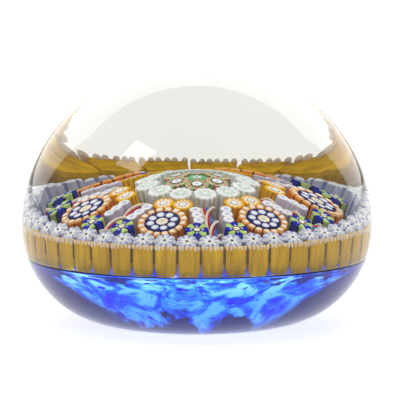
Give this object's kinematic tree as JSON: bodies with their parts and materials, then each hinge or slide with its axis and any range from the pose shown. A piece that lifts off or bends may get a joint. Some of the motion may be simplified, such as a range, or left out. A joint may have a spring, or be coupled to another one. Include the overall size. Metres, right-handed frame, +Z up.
{
  "type": "paperweight",
  "caption": "Clear glass dome over a patterned carpet of upright millefiori canes with twisted ribbons, on a mottled ground in a cobalt blue base with a flat foot.",
  "frame": {"origin": "middle of the flat foot that the paperweight rests on", "axes": "+Z up along the axis of the dome, -Y towards the viewer's side, +X to the right"},
  "size_m": [0.076, 0.076, 0.0568],
  "materials": {
    "crystal": "polished clear",
    "cobalt": "polished deep blue",
    "ground": "mottled blue and white",
    "ochre": "opaque mustard cane",
    "star": "opaque pale blue cane",
    "white": "opaque white cane",
    "green": "opaque green and white cane",
    "yellow": "opaque yellow cane",
    "orange": "opaque orange cane",
    "blue_green": "opaque cobalt and lime cane",
    "lilac": "opaque lilac cane",
    "ribbon": "opaque red, white and blue rod"
  },
  "bodies": {
    "root": {"clear_crystal_dome": "crystal", "mottled_ground": "ground", "cobalt_base": "cobalt", "ochre_stave_ring": "ochre", "star_cane_ring": "star", "white_cane_ring": "white", "centre_cane_ring": "green", "centre_cane": "green", "twisted_ribbon_1": "ribbon", "orange_cluster_cane_1": "orange", "yellow_cane_pair_1": "yellow", "blue_green_cane_1_left": "blue_green", "lilac_cane_row_1_left": "lilac", "blue_green_cane_1_right": "blue_green", "lilac_cane_row_1_right": "lilac", "twisted_ribbon_2": "ribbon", "orange_cluster_cane_2": "orange", "yellow_cane_pair_2": "yellow", "blue_green_cane_2_left": "blue_green", "lilac_cane_row_2_left": "lilac", "blue_green_cane_2_right": "blue_green", "lilac_cane_row_2_right": "lilac", "twisted_ribbon_3": "ribbon", "orange_cluster_cane_3": "orange", "yellow_cane_pair_3": "yellow", "blue_green_cane_3_left": "blue_green", "lilac_cane_row_3_left": "lilac", "blue_green_cane_3_right": "blue_green", "lilac_cane_row_3_right": "lilac", "twisted_ribbon_4": "ribbon", "orange_cluster_cane_4": "orange", "yellow_cane_pair_4": "yellow", "blue_green_cane_4_left": "blue_green", "lilac_cane_row_4_left": "lilac", "blue_green_cane_4_right": "blue_green", "lilac_cane_row_4_right": "lilac", "twisted_ribbon_5": "ribbon", "orange_cluster_cane_5": "orange", "yellow_cane_pair_5": "yellow", "blue_green_cane_5_left": "blue_green", "lilac_cane_row_5_left": "lilac", "blue_green_cane_5_right": "blue_green", "lilac_cane_row_5_right": "lilac", "twisted_ribbon_6": "ribbon", "orange_cluster_cane_6": "orange", "yellow_cane_pair_6": "yellow", "blue_green_cane_6_left": "blue_green", "lilac_cane_row_6_left": "lilac", "blue_green_cane_6_right": "blue_green", "lilac_cane_row_6_right": "lilac"}
  },
  "joints": []
}
